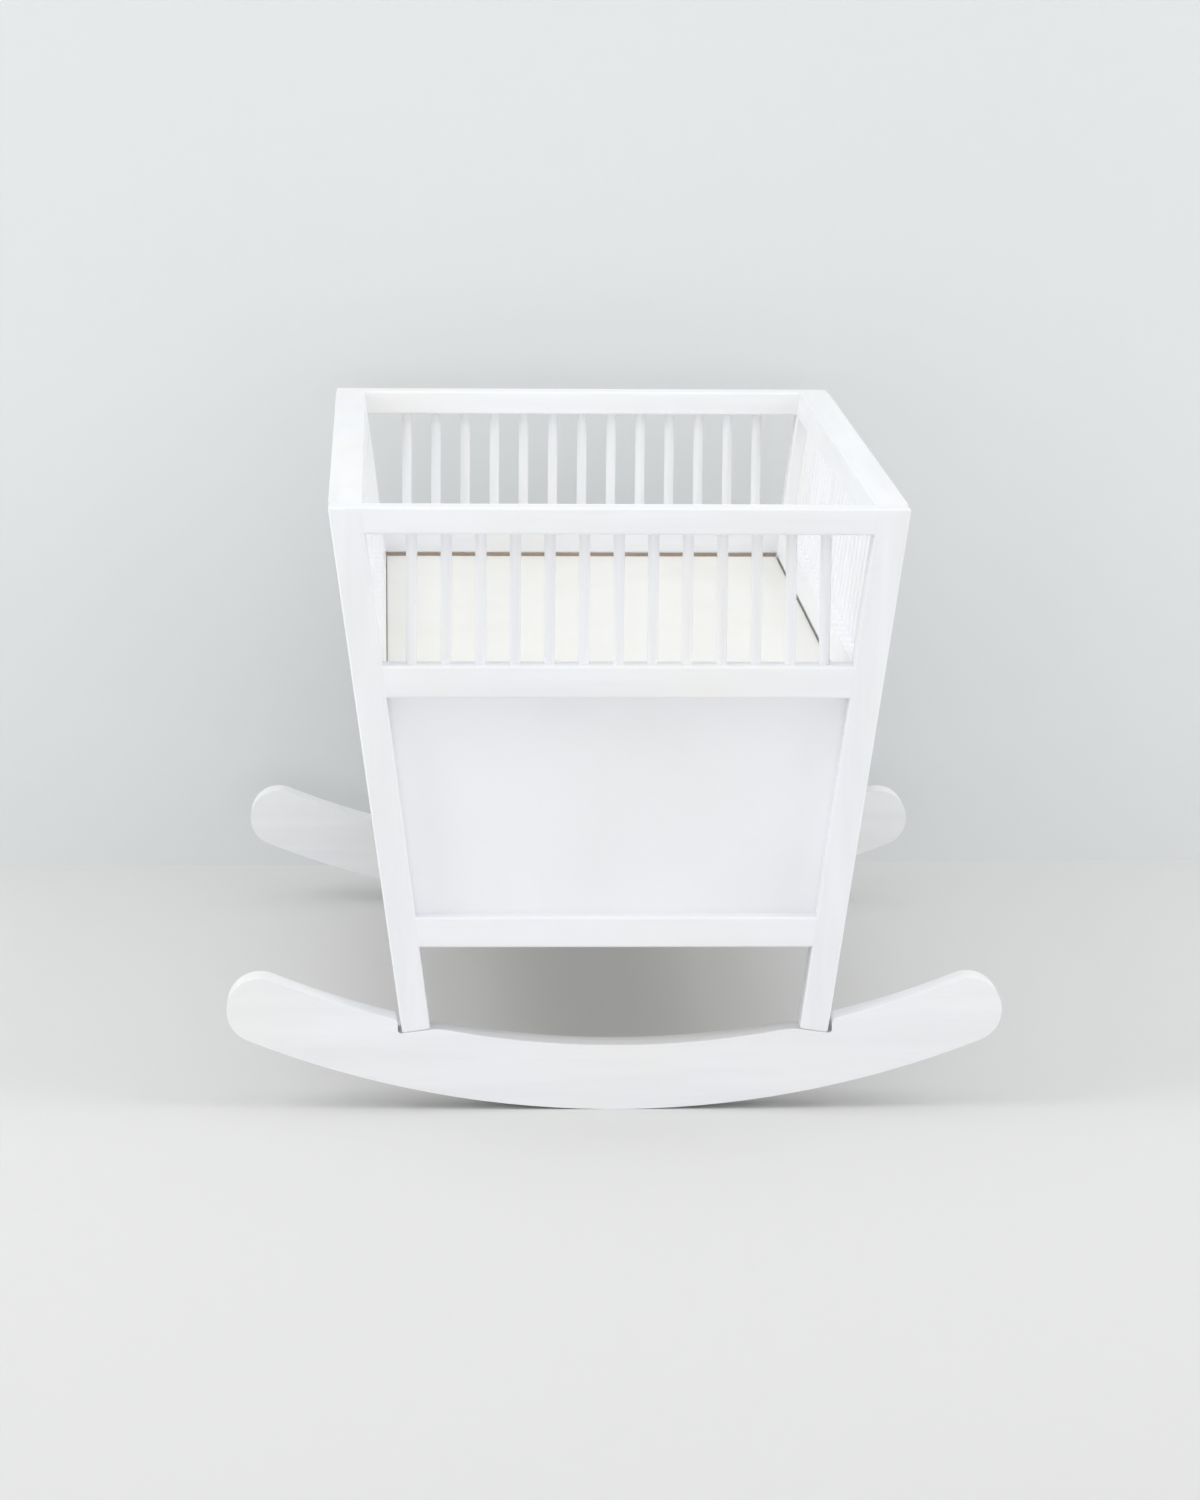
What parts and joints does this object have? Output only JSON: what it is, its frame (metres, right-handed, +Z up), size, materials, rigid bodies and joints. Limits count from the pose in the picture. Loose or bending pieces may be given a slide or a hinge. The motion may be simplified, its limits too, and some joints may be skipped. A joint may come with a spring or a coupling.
{
  "type": "baby cradle",
  "caption": "White wooden rocking cradle with leaning frame-and-panel ends and sides, spindle upper walls, a loose base board and curved runners that rock sideways.",
  "frame": {"origin": "on the floor, under the middle of the cradle", "axes": "+X to the right across the cradle, the direction it rocks in; +Y along its length, towards the rear end; +Z up"},
  "size_m": [0.704, 0.88, 0.5519],
  "materials": {
    "white_painted_wood": "satin white paint on solid wood, edges eased",
    "panel_board": "satin white paint on the outside face, bare brown fibreboard on the inside face",
    "base_board_white": "warm white painted board",
    "bare_beech": "planed, unpainted",
    "white_plastic": "matt white moulded plastic",
    "zinc_steel": "bright zinc plated"
  },
  "bodies": {
    "cradle": {"front_left_leg": "white_painted_wood", "front_right_leg": "white_painted_wood", "rear_left_leg": "white_painted_wood", "rear_right_leg": "white_painted_wood", "front_top_rail": "white_painted_wood", "front_middle_rail": "white_painted_wood", "front_bottom_rail": "white_painted_wood", "front_panel": "panel_board", "front_spindles": "white_painted_wood", "rear_top_rail": "white_painted_wood", "rear_middle_rail": "white_painted_wood", "rear_bottom_rail": "white_painted_wood", "rear_panel": "panel_board", "rear_spindles": "white_painted_wood", "left_top_rail": "white_painted_wood", "left_middle_rail": "white_painted_wood", "left_bottom_rail": "white_painted_wood", "left_panel": "panel_board", "left_spindles": "white_painted_wood", "right_top_rail": "white_painted_wood", "right_middle_rail": "white_painted_wood", "right_bottom_rail": "white_painted_wood", "right_panel": "panel_board", "right_spindles": "white_painted_wood", "front_runner": "white_painted_wood", "rear_runner": "white_painted_wood", "left_batten": "bare_beech", "right_batten": "bare_beech", "front_batten": "bare_beech", "rear_batten": "bare_beech", "side_rail_dowels": "bare_beech", "foot_dowels": "bare_beech", "cam_bolts": "zinc_steel", "cam_discs": "zinc_steel", "runner_screws": "zinc_steel", "batten_pins": "zinc_steel", "cam_caps": "white_plastic"},
    "base_board": {"base_board": "base_board_white"}
  },
  "joints": [
    {"name": "base_board_lift", "type": "slide", "parent": "cradle", "child": "base_board", "axis": [0, 0, 1], "range_m": [0, 0.2]}
  ]
}
